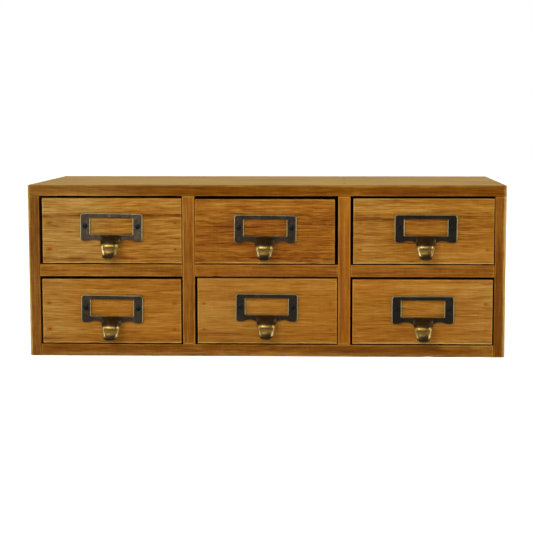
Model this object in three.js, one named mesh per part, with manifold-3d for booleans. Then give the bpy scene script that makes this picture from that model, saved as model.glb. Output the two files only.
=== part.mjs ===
// A small apothecary cabinet for a counter or a desk: six wooden drawers in two rows of three,
// each with a metal card frame whose lower rail bends out into a finger pull.
//
// Millimetres, +Z up. The front faces -Y and +X is to the right as one faces it.
// The origin is under the middle of the whole object, on the surface that it stands on.

import * as THREE from "three";
import { mergeVertices } from "three/addons/utils/BufferGeometryUtils.js";
import Module from "manifold-3d";

const wasm = await Module();
wasm.setup();

// ---------------------------------------------------------------- driving dimensions

// the case
const cabinetWidth = 470;
const cabinetDepth = 200;
const cabinetHeight = 170;
const outerBoard = 11; // the top and the two sides
const innerBoard = 12; // the bottom, the dividers and the shelves
const backPanelThickness = 3;
const glueLine = 0.2; // between boards that are glued face to face
const columns = 3;

// the drawers
const frontWidth = 137.6;
const frontThickness = 10;
const drawerSideThickness = 10;
const drawerSideInset = 1.5; // from each end of the front to the outside of the box
const drawerSideHeight = 58;
const drawerBottomThickness = 3;
const grooveDepth = 4;
const grooveHeight = 3.4;
const grooveLift = 5; // from the drawer's underside to the groove
const runningGap = 0.4; // under a drawer, and behind it when it is shut
const fitGap = 0.3; // between a loose piece and the one that holds it

// the card frame with its finger pull
const plateWidth = 61;
const plateProud = 2.2; // from the drawer front to the plate's face
const plateCorner = 2.5;
const lobeDrop = 27.2; // from the plate's top edge to the foot of its two lower lobes
const notchDrop = 25.4; // to the shallow notch between a lobe and the pull
const windowWidth = 42.3;
const windowTop = 4;
const windowBottom = 21;
const windowCorner = 1.2;
const cardSlotDepth = 0.9;
const cardSlotMargin = 2.2; // how far the card reaches past the window on each side
const pullReach = 17; // from the drawer front to the lip of the pull
const pullDrop = 43.6; // from the plate's top edge to the lip's lowest point
const pullThickness = 1.4;
const pullDomeRadius = 17; // of the pull's cross-section
const screwSpacing = 52;
const screwDrop = 12.7; // from the plate's top edge to the screws
const screwHoleRadius = 1.6;

// the pull's screws
const screwHeadRadius = 2.5;
const screwHeadHeight = 1.2;
const screwShankRadius = 1.2;
const screwLength = 8; // below the head
const pilotRadius = 1.5;
const crossLength = 2.6; // the recess for a screwdriver
const crossWidth = 0.7;
const crossDepth = 0.7;

// Each drawer was fitted by hand, so its play and its card frame's place differ a little:
// sideShift is from the middle of the bay, frontHeight is the front board's own,
// frameTop is from the drawer's underside to the plate's top edge,
// frameShift is from the middle of the front, and frameTilt is clockwise, in degrees.
const drawers = [
  // name, column, row, sideShift, frontHeight, frameTop, frameShift, frameTilt
  ["upper_left", 0, 1, 1.2, 64.9, 50, 0, 0.7],
  ["upper_middle", 1, 1, -1.4, 64, 48.6, 0.7, 0.6],
  ["upper_right", 2, 1, 1, 64.9, 49.2, 2.2, 0.2],
  ["lower_left", 0, 0, 0.2, 64.3, 48.5, 0.8, 0.9],
  ["lower_middle", 1, 0, 0.8, 65.4, 50.3, -0.2, 0.5],
  ["lower_right", 2, 0, 0.4, 64.6, 48.4, 0.4, -0.1],
].map(([name, column, row, sideShift, frontHeight, frameTop, frameShift, frameTilt]) => (
  { name, column, row, sideShift, frontHeight, frameTop, frameShift, frameTilt }
));

// ---------------------------------------------------------------- places worked out from them

const frontY = (pullReach - cabinetDepth) / 2; // the case's front edges and the drawers' faces
const backY = frontY + cabinetDepth;
const bayWidth = (cabinetWidth - 2 * outerBoard - (columns - 1) * innerBoard) / columns;
const bayHeight = (cabinetHeight - outerBoard - 2 * innerBoard) / 2;
const bayPitchX = bayWidth + innerBoard;
const bayPitchZ = bayHeight + innerBoard;
const innerHalfWidth = cabinetWidth / 2 - outerBoard;
const innerBackY = backY - backPanelThickness;

const drawerLength = innerBackY - frontY - runningGap;
const boxHalfWidth = frontWidth / 2 - drawerSideInset;
const boxInnerHalfWidth = boxHalfWidth - drawerSideThickness;

// ---------------------------------------------------------------- materials

const caseWood = new THREE.MeshStandardMaterial({ color: 0x85551d, roughness: 0.55, metalness: 0 });
const frontWood = new THREE.MeshStandardMaterial({ color: 0xa87430, roughness: 0.6, metalness: 0 });
const boxWood = new THREE.MeshStandardMaterial({ color: 0xc39a5e, roughness: 0.7, metalness: 0 });
const plywood = new THREE.MeshStandardMaterial({ color: 0x9c7338, roughness: 0.75, metalness: 0 });
const bronze = new THREE.MeshStandardMaterial({ color: 0x3a3128, roughness: 0.4, metalness: 0.9 });
const blackSteel = new THREE.MeshStandardMaterial({ color: 0x101214, roughness: 0.35, metalness: 0.8 });

// ---------------------------------------------------------------- solids

// A closed three.js geometry as a manifold-3d solid, which can be cut and joined.
function solidOf(geometry) {
  const bare = geometry.index ? geometry.toNonIndexed() : geometry.clone();
  bare.deleteAttribute("normal");
  bare.deleteAttribute("uv");
  const merged = mergeVertices(bare, 1e-4);
  return new wasm.Manifold(
    new wasm.Mesh({
      numProp: 3,
      vertProperties: new Float32Array(merged.attributes.position.array),
      triVerts: new Uint32Array(merged.index.array),
    }),
  );
}

// A manifold-3d solid back as a three.js geometry.
function geometryOf(solid) {
  const mesh = solid.getMesh();
  const indexed = new THREE.BufferGeometry()
    .setAttribute("position", new THREE.BufferAttribute(new Float32Array(mesh.vertProperties), 3))
    .setIndex(new THREE.BufferAttribute(new Uint32Array(mesh.triVerts), 1));
  const geometry = indexed.toNonIndexed();
  geometry.computeVertexNormals();
  return geometry;
}

// A box between two corners.
function boxBetween(low, high) {
  const size = high.map((value, axis) => value - low[axis]);
  const middle = high.map((value, axis) => (value + low[axis]) / 2);
  return new THREE.BoxGeometry(...size).translate(...middle);
}

// A cylinder along Y, from y0 out to y1.
function holeAlongY(radius, x, y0, y1, z, sides) {
  return new THREE.CylinderGeometry(radius, radius, Math.abs(y1 - y0), sides)
    .translate(x, (y0 + y1) / 2, z);
}

function piece(name, geometry, material) {
  const mesh = new THREE.Mesh(geometry, material);
  mesh.name = name;
  return mesh;
}

// ---------------------------------------------------------------- the case

function buildCase() {
  const group = new THREE.Group();
  const topUnderside = cabinetHeight - outerBoard;
  const board = (name, low, high, material = caseWood) =>
    group.add(piece(name, boxBetween(low, high), material));

  board(
    "top_board",
    [-cabinetWidth / 2, frontY, topUnderside],
    [cabinetWidth / 2, backY, cabinetHeight],
  );

  // the sides stand on the floor and carry the top
  for (const [name, side] of [["left_side", -1], ["right_side", 1]]) {
    const edges = [side * cabinetWidth / 2, side * innerHalfWidth].sort((a, b) => a - b);
    board(name, [edges[0], frontY, 0], [edges[1], backY, topUnderside - glueLine]);
  }

  board(
    "bottom_board",
    [-innerHalfWidth + glueLine, frontY, 0],
    [innerHalfWidth - glueLine, innerBackY - glueLine, innerBoard],
  );

  // two dividers run from the bottom board to the top
  const dividerX = bayPitchX / 2;
  for (const [name, x] of [["left_divider", -dividerX], ["right_divider", dividerX]]) {
    board(
      name,
      [x - innerBoard / 2, frontY, innerBoard + glueLine],
      [x + innerBoard / 2, innerBackY - glueLine, topUnderside - glueLine],
    );
  }

  // a short shelf crosses each column
  const shelfNames = ["left_shelf", "middle_shelf", "right_shelf"];
  shelfNames.forEach((name, column) => {
    const x = (column - 1) * bayPitchX;
    const reach = bayWidth / 2 - glueLine;
    const z = innerBoard + bayHeight;
    board(name, [x - reach, frontY, z], [x + reach, innerBackY - glueLine, z + innerBoard]);
  });

  // the back panel lies between the sides and under the top
  board(
    "back_panel",
    [-innerHalfWidth + fitGap, innerBackY, 0],
    [innerHalfWidth - fitGap, backY, topUnderside - fitGap],
    plywood,
  );
  return group;
}

// ---------------------------------------------------------------- a drawer's box
// In a drawer's own frame x = 0 is its middle, y = 0 its face and z = 0 its underside.

// The slot that the bottom panel is let into, as a block to cut with.
function bottomGroove() {
  const grooveBackY = drawerLength - drawerSideThickness + grooveDepth;
  return solidOf(
    boxBetween(
      [-boxInnerHalfWidth - grooveDepth, frontThickness - grooveDepth, grooveLift],
      [boxInnerHalfWidth + grooveDepth, grooveBackY, grooveLift + grooveHeight],
    ),
  );
}

// Where a card frame's two screws stand, in the drawer's frame.
function screwPlaces(drawer) {
  const tilt = THREE.MathUtils.degToRad(drawer.frameTilt);
  return [-1, 1].map((side) => {
    const across = (side * screwSpacing) / 2;
    return {
      x: drawer.frameShift + across * Math.cos(tilt) - screwDrop * Math.sin(tilt),
      z: drawer.frameTop - screwDrop * Math.cos(tilt) - across * Math.sin(tilt),
    };
  });
}

function drawerFront(drawer) {
  const half = frontWidth / 2;
  let front = solidOf(boxBetween([-half, 0, 0], [half, frontThickness, drawer.frontHeight]));
  front = front.subtract(bottomGroove());
  const pilotDepth = screwLength - plateProud + fitGap;
  for (const { x, z } of screwPlaces(drawer)) {
    front = front.subtract(solidOf(holeAlongY(pilotRadius, x, -1, pilotDepth, z, 10)));
  }
  return geometryOf(front);
}

function drawerSide(side) {
  const edges = [side * boxHalfWidth, side * boxInnerHalfWidth].sort((a, b) => a - b);
  const slab = solidOf(
    boxBetween([edges[0], frontThickness + glueLine, 0], [edges[1], drawerLength, drawerSideHeight]),
  );
  // this groove runs out through both ends of the side
  const groove = solidOf(
    boxBetween(
      [-boxInnerHalfWidth - grooveDepth, 0, grooveLift],
      [boxInnerHalfWidth + grooveDepth, drawerLength + 1, grooveLift + grooveHeight],
    ),
  );
  return geometryOf(slab.subtract(groove));
}

function drawerBack() {
  const slab = solidOf(
    boxBetween(
      [-boxInnerHalfWidth + glueLine, drawerLength - drawerSideThickness, 0],
      [boxInnerHalfWidth - glueLine, drawerLength, drawerSideHeight],
    ),
  );
  return geometryOf(slab.subtract(bottomGroove()));
}

function drawerBottom() {
  const z = grooveLift + (grooveHeight - drawerBottomThickness) / 2;
  return boxBetween(
    [-boxInnerHalfWidth - grooveDepth + fitGap, frontThickness - grooveDepth + fitGap, z],
    [
      boxInnerHalfWidth + grooveDepth - fitGap,
      drawerLength - drawerSideThickness + grooveDepth - fitGap,
      z + drawerBottomThickness,
    ],
  );
}

// ---------------------------------------------------------------- the card frame and its pull
// In the frame's own space x = 0 is its middle, y = 0 the drawer's face, -y towards the hand,
// and z = 0 its top edge.

// A flat outline drawn in x and z, given a thickness from y0 out to y1.
function slabFromOutline(shape, y0, y1, curveSegments) {
  const geometry = new THREE.ExtrudeGeometry(shape, {
    depth: Math.abs(y1 - y0),
    bevelEnabled: false,
    curveSegments,
  });
  // the outline's x and y become x and z, and the extrusion runs along -y
  return solidOf(geometry.rotateX(Math.PI / 2).translate(0, Math.max(y0, y1), 0));
}

// The plate: round upper corners, two lobes at the foot, and a shallow notch beside each.
function plateOutline() {
  const half = plateWidth / 2;
  const r = plateCorner;
  const lobeInner = half - 6.5;
  const notchX = 17.5;
  const rootX = 10.4;
  const shape = new THREE.Shape();
  shape.moveTo(-half + r, 0);
  shape.lineTo(half - r, 0);
  shape.absarc(half - r, -r, r, Math.PI / 2, 0, true);
  shape.lineTo(half, -lobeDrop + r);
  shape.absarc(half - r, -lobeDrop + r, r, 0, -Math.PI / 2, true);
  shape.lineTo(lobeInner, -lobeDrop);
  shape.bezierCurveTo(lobeInner - 2, -lobeDrop, notchX + 2, -notchDrop, notchX, -notchDrop);
  shape.bezierCurveTo(notchX - 3, -notchDrop, rootX + 1.5, -lobeDrop + 0.6, rootX, -lobeDrop);
  shape.lineTo(-rootX, -lobeDrop);
  shape.bezierCurveTo(-rootX - 1.5, -lobeDrop + 0.6, -notchX + 3, -notchDrop, -notchX, -notchDrop);
  shape.bezierCurveTo(-notchX - 2, -notchDrop, -lobeInner + 2, -lobeDrop, -lobeInner, -lobeDrop);
  shape.lineTo(-half + r, -lobeDrop);
  shape.absarc(-half + r, -lobeDrop + r, r, -Math.PI / 2, -Math.PI, true);
  shape.lineTo(-half, -r);
  shape.absarc(-half + r, -r, r, Math.PI, Math.PI / 2, true);
  return shape;
}

function windowOutline() {
  const half = windowWidth / 2;
  const r = windowCorner;
  const path = new THREE.Path();
  path.moveTo(-half + r, -windowTop);
  path.absarc(-half + r, -windowTop - r, r, Math.PI / 2, Math.PI, false);
  path.absarc(-half + r, -windowBottom + r, r, Math.PI, 1.5 * Math.PI, false);
  path.absarc(half - r, -windowBottom + r, r, 1.5 * Math.PI, 2 * Math.PI, false);
  path.absarc(half - r, -windowTop - r, r, 0, Math.PI / 2, false);
  path.closePath();
  return path;
}

// The pull seen from the front: wide at its root, then narrowing to a round lip.
function pullOutline() {
  const shape = new THREE.Shape();
  shape.moveTo(-10.5, -windowBottom - 0.3);
  shape.lineTo(10.5, -windowBottom - 0.3);
  shape.lineTo(10.3, -25.6);
  shape.bezierCurveTo(9.7, -27.6, 8.6, -29, 8.3, -31.5);
  shape.bezierCurveTo(8, -34.5, 7.3, -36.8, 6.4, -39);
  shape.bezierCurveTo(5.3, -41.9, 2.9, -pullDrop, 0, -pullDrop);
  shape.bezierCurveTo(-2.9, -pullDrop, -5.3, -41.9, -6.4, -39);
  shape.bezierCurveTo(-7.3, -36.8, -8, -34.5, -8.3, -31.5);
  shape.bezierCurveTo(-8.6, -29, -9.7, -27.6, -10.3, -25.6);
  return shape;
}

// The line that the pull's front surface follows when seen from the side: u is its distance
// from the drawer front. It slopes out from the window's lower edge, turns down, and flares
// at the lip.
function pullPath() {
  const v = (u, z) => new THREE.Vector3(0, -u, z);
  const path = new THREE.CurvePath();
  path.add(new THREE.CubicBezierCurve3(v(1.1, -21.1), v(4.8, -21.9), v(11.2, -25.4), v(12.6, -30.4)));
  path.add(new THREE.CubicBezierCurve3(v(12.6, -30.4), v(13.4, -33.4), v(12.9, -36.8), v(14.2, -39.8)));
  path.add(new THREE.CubicBezierCurve3(v(14.2, -39.8), v(15, -41.4), v(16.2, -42.7), v(17.8, -44.2)));
  return path;
}

// The pull's cross-section: a bent plate whose edges curl back towards the drawer.
function pullCrossSection() {
  const r = pullDomeRadius;
  const halfAngle = Math.asin(12.5 / r);
  const from = -Math.PI / 2 - halfAngle;
  const to = -Math.PI / 2 + halfAngle;
  const shape = new THREE.Shape();
  shape.absarc(0, r, r, from, to, false);
  shape.absarc(0, r, r - pullThickness, to, from, true);
  return shape;
}

function cardFrame() {
  const outline = plateOutline();
  outline.holes.push(windowOutline());
  let frame = slabFromOutline(outline, 0, -plateProud, 4);

  // a card slides in behind the window from above
  const slotHalf = windowWidth / 2 + cardSlotMargin;
  frame = frame.subtract(
    solidOf(boxBetween([-slotHalf, -cardSlotDepth, -windowBottom - 1.2], [slotHalf, 1, 1])),
  );
  for (const side of [-1, 1]) {
    const x = (side * screwSpacing) / 2;
    frame = frame.subtract(solidOf(holeAlongY(screwHoleRadius, x, -plateProud - 1, 1, -screwDrop, 12)));
  }

  // the domed strip is swept along its path, then trimmed to the pull's front outline
  const strip = new THREE.ExtrudeGeometry(pullCrossSection(), {
    extrudePath: pullPath(),
    steps: 14,
    curveSegments: 4,
    bevelEnabled: false,
  });
  const trim = slabFromOutline(pullOutline(), 0, glueLine - pullReach, 4);
  const trimmed = solidOf(strip).intersect(trim);
  return geometryOf(frame.add(trimmed));
}

// A cross-head screw along y, with its head's underside at y = 0 and its point towards +y.
function screwGeometry() {
  const r = screwHeadRadius;
  const h = screwHeadHeight;
  const tip = 2;
  const profile = [
    [0, -h],
    [r * 0.55, -h * 0.93],
    [r * 0.9, -h * 0.6],
    [r, -h * 0.15],
    [r, 0],
    [screwShankRadius, 0],
    [screwShankRadius, screwLength - tip],
    [0, screwLength],
  ].map(([radius, along]) => new THREE.Vector2(radius, along));
  let screw = solidOf(new THREE.LatheGeometry(profile, 10));
  const arm = crossLength / 2;
  const half = crossWidth / 2;
  for (const [x, z] of [[arm, half], [half, arm]]) {
    screw = screw.subtract(solidOf(boxBetween([-x, -h - 1, -z], [x, -h + crossDepth, z])));
  }
  return geometryOf(screw);
}

// ---------------------------------------------------------------- a whole drawer

const screwShape = screwGeometry();
const sideShapes = { left: drawerSide(-1), right: drawerSide(1) };
const backShape = drawerBack();
const bottomShape = drawerBottom();
const frameShape = cardFrame();

function buildDrawer(drawer) {
  const group = new THREE.Group();
  group.position.set(
    (drawer.column - 1) * bayPitchX + drawer.sideShift,
    frontY,
    innerBoard + drawer.row * bayPitchZ + runningGap,
  );
  const part = (label) => `${drawer.name}_${label}`;
  group.add(
    piece(part("drawer_front"), drawerFront(drawer), frontWood),
    piece(part("drawer_side_left"), sideShapes.left, boxWood),
    piece(part("drawer_side_right"), sideShapes.right, boxWood),
    piece(part("drawer_back"), backShape, boxWood),
    piece(part("drawer_bottom"), bottomShape, plywood),
  );

  const frame = piece(part("card_frame_pull"), frameShape, bronze);
  frame.position.set(drawer.frameShift, -glueLine, drawer.frameTop);
  frame.rotation.y = THREE.MathUtils.degToRad(drawer.frameTilt);
  group.add(frame);

  screwPlaces(drawer).forEach(({ x, z }, index) => {
    const screw = piece(part(index ? "screw_right" : "screw_left"), screwShape, blackSteel);
    screw.position.set(x, -plateProud - 2 * glueLine, z);
    group.add(screw);
  });
  return group;
}

// ---------------------------------------------------------------- the whole cabinet

const cabinet = new THREE.Group();
cabinet.add(buildCase());
for (const drawer of drawers) cabinet.add(buildDrawer(drawer));

export default cabinet;
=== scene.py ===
"""The looks of a small apothecary cabinet: stained boards, drawers and bronze card frames."""

import math

import bmesh
import bpy
from bpy.props import FloatProperty, FloatVectorProperty, PointerProperty
from bpy.types import Operator, Panel, PropertyGroup
from mathutils import Matrix, Vector, noise
from mathutils.geometry import interpolate_bezier


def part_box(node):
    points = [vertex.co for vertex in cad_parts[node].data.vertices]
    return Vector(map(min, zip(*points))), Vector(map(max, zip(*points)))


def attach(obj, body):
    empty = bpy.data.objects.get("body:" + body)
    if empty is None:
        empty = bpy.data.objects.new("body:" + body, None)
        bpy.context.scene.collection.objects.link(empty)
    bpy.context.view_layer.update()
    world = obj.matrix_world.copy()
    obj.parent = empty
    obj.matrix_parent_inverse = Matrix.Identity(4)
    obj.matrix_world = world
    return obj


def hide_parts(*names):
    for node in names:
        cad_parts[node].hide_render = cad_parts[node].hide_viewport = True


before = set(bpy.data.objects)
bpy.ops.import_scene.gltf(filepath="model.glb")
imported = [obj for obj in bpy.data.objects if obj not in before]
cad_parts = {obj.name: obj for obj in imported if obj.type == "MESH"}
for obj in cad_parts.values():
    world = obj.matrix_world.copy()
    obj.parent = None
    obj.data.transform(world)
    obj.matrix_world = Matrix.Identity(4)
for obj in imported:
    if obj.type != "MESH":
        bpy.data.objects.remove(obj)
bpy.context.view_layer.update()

bl_info = {
    "name": "Apothecary cabinet",
    "version": (1, 0, 0),
    "blender": (4, 5, 0),
    "location": "View3D > Sidebar > Cabinet",
    "description": "Dresses the cabinet's boards, drawers and card frames, and sets its stage",
    "category": "Object",
}

MM = 0.001

# ------------------------------------------------------------------ the drawers
# How the drawers differ. First the card frame: shift from the middle of the front and top edge
# above its foot (mm), clockwise tilt (degrees), how far the pull's lip leans aside (mm) and how
# light its darkened bronze is painted, a painted light and shade for how the lights fall on each
# plate. Then the front's wood: its tone, how orange and how wavy (mm) it is, how strong its dark
# hairs, fine grain and growth rings are, and how rusty the wood at each brad.
# bands: height above the foot and half width (mm), change of tone, lean to one side.
# tints: where along the front it is yellower, half width (both mm), and how much.

DRAWERS = {
    "upper_left": {
        "shift": 0.0, "top": 50.0, "tilt": 0.7, "lean": -1.4, "patina_and_light": 1.12,
        "tone": 0.43, "warm": 0.04, "wave": 0.8, "lines": 0.2, "fine": 1.0, "rings": 0.10,
        "rust": (0.9, 1.0, 0.1, 0.3),
        "bands": ((58, 9, 0.12, -0.7), (47, 2.6, -0.36, 0), (21, 13, 0.09, -0.6),
                  (6, 2, -0.16, 0)),
        "tints": ((18, 70, 0.4), (125, 30, 0.1)),
    },
    "upper_middle": {
        "shift": 0.7, "top": 48.6, "tilt": 0.6, "lean": -0.6, "patina_and_light": 0.56,
        "tone": 0.34, "warm": 0.32, "wave": 2.4, "lines": 0.32, "fine": 1.0, "rings": 0.16,
        "rust": (0.2, 0.1, 0.3, 0.3),
        "bands": ((57, 9, 0.13, 0.5), (40, 8, -0.05, 0), (22, 30, -0.07, -0.8),
                  (9, 6, -0.05, 0.3)),
        "tints": (),
    },
    "upper_right": {
        "shift": 2.2, "top": 49.2, "tilt": 0.2, "lean": -0.6, "patina_and_light": 0.22,
        "tone": 0.41, "warm": 0.12, "wave": 1.2, "lines": 0.16, "fine": 0.95, "rings": 0.11,
        "rust": (0.3, 0.2, 0.2, 0.8),
        "bands": ((56, 7, 0.16, -0.7), (46, 2.6, -0.20, -0.8), (14, 8, 0.06, 0.2),
                  (32, 5, -0.04, 0)),
        "tints": ((10, 40, 0.15),),
    },
    "lower_left": {
        "shift": 0.8, "top": 48.5, "tilt": 0.9, "lean": -0.6, "patina_and_light": 0.58,
        "tone": 0.45, "warm": 0.16, "wave": 0.5, "lines": 0.1, "fine": 0.8, "rings": 0.08,
        "rust": (0.9, 0.8, 0.6, 0.8),
        "bands": ((60, 6, -0.02, -0.3), (20, 9, 0.05, 0.3), (38, 8, 0.03, 0),
                  (3, 4, -0.12, -0.4)),
        "tints": ((0, 50, 0.25),),
    },
    "lower_middle": {
        "shift": -0.2, "top": 50.3, "tilt": 0.5, "lean": 0.0, "patina_and_light": 0.40,
        "tone": 0.48, "warm": 0.2, "wave": 0.3, "lines": 0.1, "fine": 0.6, "rings": 0.09,
        "rust": (0.3, 0.2, 0.5, 0.2),
        "bands": ((57, 11, 0.08, 0), (9, 3, -0.16, 0), (3, 2.5, -0.14, -0.3),
                  (30, 14, 0.06, 0)),
        "tints": ((10, 70, 0.12),),
    },
    "lower_right": {
        "shift": 0.4, "top": 48.4, "tilt": -0.1, "lean": 0.3, "patina_and_light": 0.22,
        "tone": 0.49, "warm": 0.22, "wave": 0.6, "lines": 0.14, "fine": 0.8, "rings": 0.12,
        "rust": (0.3, 0.2, 0.3, 0.4),
        "bands": ((57, 7, 0.14, 0.4), (8, 7, -0.10, -0.5), (29, 6, 0.05, 0.3),
                  (42, 3, -0.06, 0)),
        "tints": ((130, 40, 0.15),),
    },
}

# ------------------------------------------------------------------ the case's boards
# Each board's grain direction, and the radius in mm of the arrises that aren't at a joint,
# named by the two faces that meet there.

JOINT_ARRIS = 0.12
CASE_BOARDS = {
    "top_board": ("X", {
        "-y+z": 2.0, "+y+z": 1.2, "-x+z": 1.3, "+x+z": 1.3, "-y-z": 0.5,
        "-x-y": 1.2, "+x-y": 1.2, "-x+y": 0.8, "+x+y": 0.8,
    }),
    "left_side": ("Z", {"-x-y": 1.3, "+x-y": 0.6, "-x+y": 0.8, "-x-z": 0.7, "-y-z": 0.7}),
    "right_side": ("Z", {"+x-y": 1.3, "-x-y": 0.6, "+x+y": 0.8, "+x-z": 0.7, "-y-z": 0.7}),
    "bottom_board": ("X", {"-y+z": 0.6, "-y-z": 0.7}),
    "left_divider": ("Z", {"-x-y": 0.6, "+x-y": 0.6}),
    "right_divider": ("Z", {"-x-y": 0.6, "+x-y": 0.6}),
    "left_shelf": ("X", {"-y+z": 0.6, "-y-z": 0.6}),
    "middle_shelf": ("X", {"-y+z": 0.6, "-y-z": 0.6}),
    "right_shelf": ("X", {"-y+z": 0.6, "-y-z": 0.6}),
}
CASE_WARMTH = {"left_divider": 0.12, "right_divider": 0.45, "left_shelf": 0.1,
               "middle_shelf": 0.25, "right_shelf": 0.2}
CASE_TONES = {
    "top_board": 0.34, "left_side": 0.34, "right_side": 0.43, "bottom_board": 0.44,
    "left_divider": 0.54, "right_divider": 0.58, "left_shelf": 0.60, "middle_shelf": 0.54,
    "right_shelf": 0.61,
}

# Where a case board is paler and more olive: partly a finish thinned by wearing, partly a
# painted sheen and highlight where the lights catch its arrises and the top's left end. The axis
# across the strip, where its middle is from the board's low face (mm, or from its high face if
# negative), its half width (mm), how much paler it is and how much more olive.

CASE_STRIPS = {
    "top_board": (("z", 11.0, 3.5, 0.06, 0.2), ("x", 0.6, 2.4, 0.20, 0.5),
                  ("x", -0.6, 3.0, 0.20, 0.5), ("x", 20.0, 150.0, 0.06, 0.25)),
    "left_side": (("x", 0.4, 2.6, 0.30, 0.8), ("x", 6.0, 9.0, 0.0, 0.12)),
    "right_side": (("x", -0.6, 3.0, 0.30, 0.8),),
    "bottom_board": (("z", 2.0, 4.0, 0.06, 0.15), ("x", -30.0, 90.0, 0.10, 0.0)),
}

# ------------------------------------------------------------------ settings


def from_screen(rgb):
    """A linear RGBA colour from 0 to 255 screen values."""
    def channel(value):
        value /= 255
        return value / 12.92 if value <= 0.04045 else ((value + 0.055) / 1.055) ** 2.4
    return (*map(channel, rgb), 1.0)


def scaled(rgb, factor=1.0):
    """A linear RGBA colour from a setting, made darker or lighter."""
    return tuple(value * factor for value in rgb) + (1.0,)


def colour_property(name, description, rgb):
    """A colour setting whose default is given as 0 to 255 screen values."""
    return FloatVectorProperty(name=name, description=description, subtype="COLOR", size=3,
                               min=0, max=1, default=from_screen(rgb)[:3])


def length_property(name, description, millimetres):
    return FloatProperty(name=name, description=description, unit="LENGTH", min=0,
                         default=millimetres * MM)


def factor_property(name, description, value):
    return FloatProperty(name=name, description=description, subtype="FACTOR", min=0, max=1,
                         default=value)


def power_property(name, description, watts):
    return FloatProperty(name=name, description=description, unit="POWER", min=0, default=watts)


class CaseSettings(PropertyGroup):
    dark: colour_property("Dark stain", "Late wood and stain in the pores", (86, 40, 2))
    middle: colour_property("Stain", "The case's usual colour", (120, 70, 11))
    # the pale stain shows where the arrises are paler: partly wearing, partly a painted highlight
    # where the lights catch them
    light: colour_property("Pale stain", "Early wood and rubbed arrises", (160, 112, 40))
    wear: factor_property("Wear", "How far the arrises are rubbed pale", 0.5)
    nail_radius: length_property("Nail head", "Radius of a set nail's head", 1.0)


class DrawerSettings(PropertyGroup):
    dark: colour_property("Dark grain", "The darkest fibres", (102, 47, 3))
    middle: colour_property("Honey", "A front's usual colour", (158, 104, 29))
    light: colour_property("Straw", "The palest brushed fibres", (188, 150, 74))
    brushed: factor_property("Brushing", "How deep the wire brush cut", 0.55)
    arris: length_property("Arris", "Radius along a front's edges", 0.7)
    foot_gap: length_property("Foot", "How far a front's foot stands clear of its box's", 0.6)
    brad_radius: length_property("Brad head", "Radius of a brad's head", 1.25)
    brad_inset: length_property("Brad inset", "From a front's end to its brads", 6.5)
    brad_low: length_property("Lower brad", "Height of the lower brads above the foot", 14.5)
    brad_high: length_property("Upper brad", "Height of the upper brads above the foot", 40.5)


class FrameSettings(PropertyGroup):
    patina_and_light: colour_property("Patina", "The darkened bronze", (70, 58, 45))
    # the cream of the pull's edges and the plate's rim: partly metal bared by rubbing, partly a
    # painted highlight where the lights reflect
    brass_and_highlight: colour_property("Rubbed metal", "The metal where it is rubbed bright", (222, 214, 158))
    screw: colour_property("Screws", "The blackened steel", (13, 13, 15))
    plate_width: length_property("Plate width", "Overall width of the plate", 61)
    window_width: length_property("Window width", "Width of the card window", 42.3)
    rim: length_property("Rim", "Width of the rounded rim of the plate", 0.6)
    dome: length_property("Dome", "Radius of the pull's cross-section", 17)
    metal: length_property("Metal", "Thickness of the pull", 1.4)


class StageSettings(PropertyGroup):
    floor: colour_property("Floor", "The plain pale floor", (250, 250, 248))
    key_power: power_property("Key light", "Power of the large light on the left", 21)
    fill_power: power_property("Fill light", "Power of the light on the right", 9)
    front_power: power_property("Front light", "Power of the light over the camera", 7)
    edge_power: power_property("Edge light", "Power of the light on the far left", 4.5)
    back_power: power_property("Back light", "Power of the light from behind", 6)
    surroundings: FloatProperty(name="Surroundings", description="Brightness of the room",
                                min=0, default=0.62)
    lens: FloatProperty(name="Lens", description="Focal length", unit="CAMERA", default=97.87)


SETTINGS = {
    "apothecary_case": CaseSettings,
    "apothecary_drawers": DrawerSettings,
    "apothecary_frames": FrameSettings,
    "apothecary_stage": StageSettings,
}

# ------------------------------------------------------------------ shader maths


class Term:
    """One output of a shader node, so that shader maths reads as ordinary arithmetic."""

    def __init__(self, shader, socket):
        self.shader = shader
        self.socket = socket

    def of(self, output):
        """Another output of the same node."""
        return Term(self.shader, self.socket.node.outputs[output])

    def math(self, operation, *values, clamp=False):
        settings = {"operation": operation, "use_clamp": clamp}
        return self.shader.add("ShaderNodeMath", settings, dict(enumerate(values)))

    def clamped(self):
        return self.math("ADD", self, 0.0, clamp=True)

    def least(self, other):
        return self.math("MINIMUM", self, other)

    def most(self, other):
        return self.math("MAXIMUM", self, other)

    def fraction(self):
        return self.math("FRACT", self)

    def between(self, low, high):
        """0 below low, 1 above high, and a smooth rise between them."""
        return self.shader.add(
            "ShaderNodeMapRange", {"interpolation_type": "SMOOTHSTEP", "clamp": True},
            {"Value": self, "From Min": low, "From Max": high, "To Min": 0.0, "To Max": 1.0},
        )

    def __add__(self, other):
        return self.math("ADD", self, other)

    def __sub__(self, other):
        return self.math("SUBTRACT", self, other)

    def __rsub__(self, other):
        return self.math("SUBTRACT", other, self)

    def __mul__(self, other):
        return self.math("MULTIPLY", self, other)

    def __truediv__(self, other):
        return self.math("DIVIDE", self, other)

    def __pow__(self, other):
        return self.math("POWER", self, other)

    def __abs__(self):
        return self.math("ABSOLUTE", self)

    __radd__ = __add__
    __rmul__ = __mul__


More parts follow.
